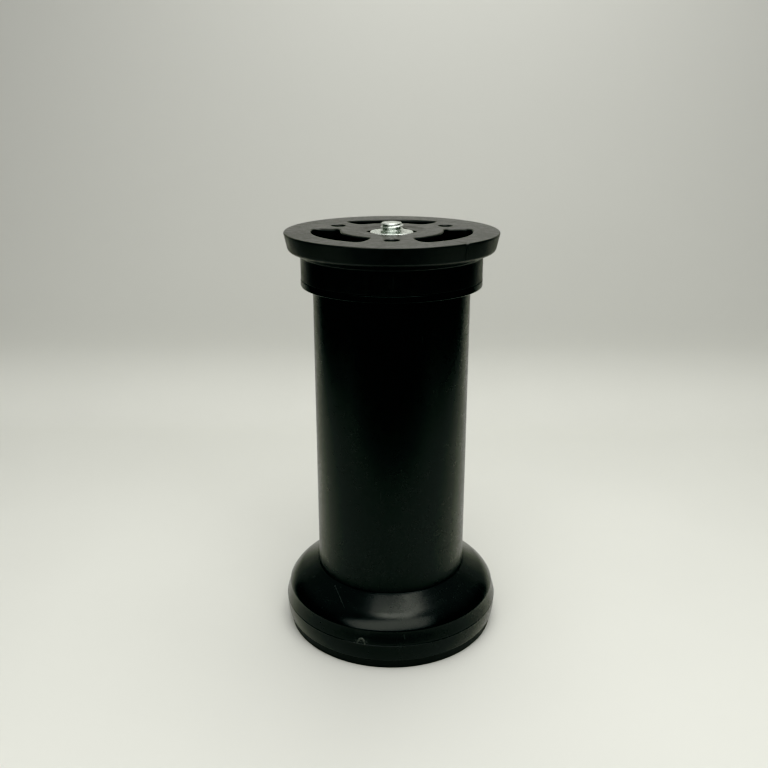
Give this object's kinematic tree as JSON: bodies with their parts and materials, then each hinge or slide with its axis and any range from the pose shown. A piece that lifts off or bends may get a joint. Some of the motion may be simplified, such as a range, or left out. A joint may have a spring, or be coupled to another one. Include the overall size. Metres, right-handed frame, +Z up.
{
  "type": "furniture leg with mounting plate",
  "caption": "Round plastic furniture leg with a flared base on a floor pad, a plain tube and a slotted round mounting plate held by a central threaded bolt.",
  "frame": {"origin": "centre of the floor pad's underside, on the floor", "axes": "+Z up along the leg's axis to the mounting plate, +Y through the middle of one curved slot, -Y through one screw hole"},
  "size_m": [0.0808, 0.0808, 0.1523],
  "materials": {
    "plate_plastic": "fine matte grain",
    "leg_plastic": "satin",
    "zinc": "bright zinc plate",
    "pad_rubber": "dull"
  },
  "bodies": {
    "root": {"mounting_plate": "plate_plastic", "plate_nut": "zinc", "stud_bolt": "zinc", "stud_washer": "zinc", "stud_nut": "zinc", "tube_head": "leg_plastic", "leg_tube": "leg_plastic", "foot_base": "leg_plastic", "floor_pad": "pad_rubber"}
  },
  "joints": []
}
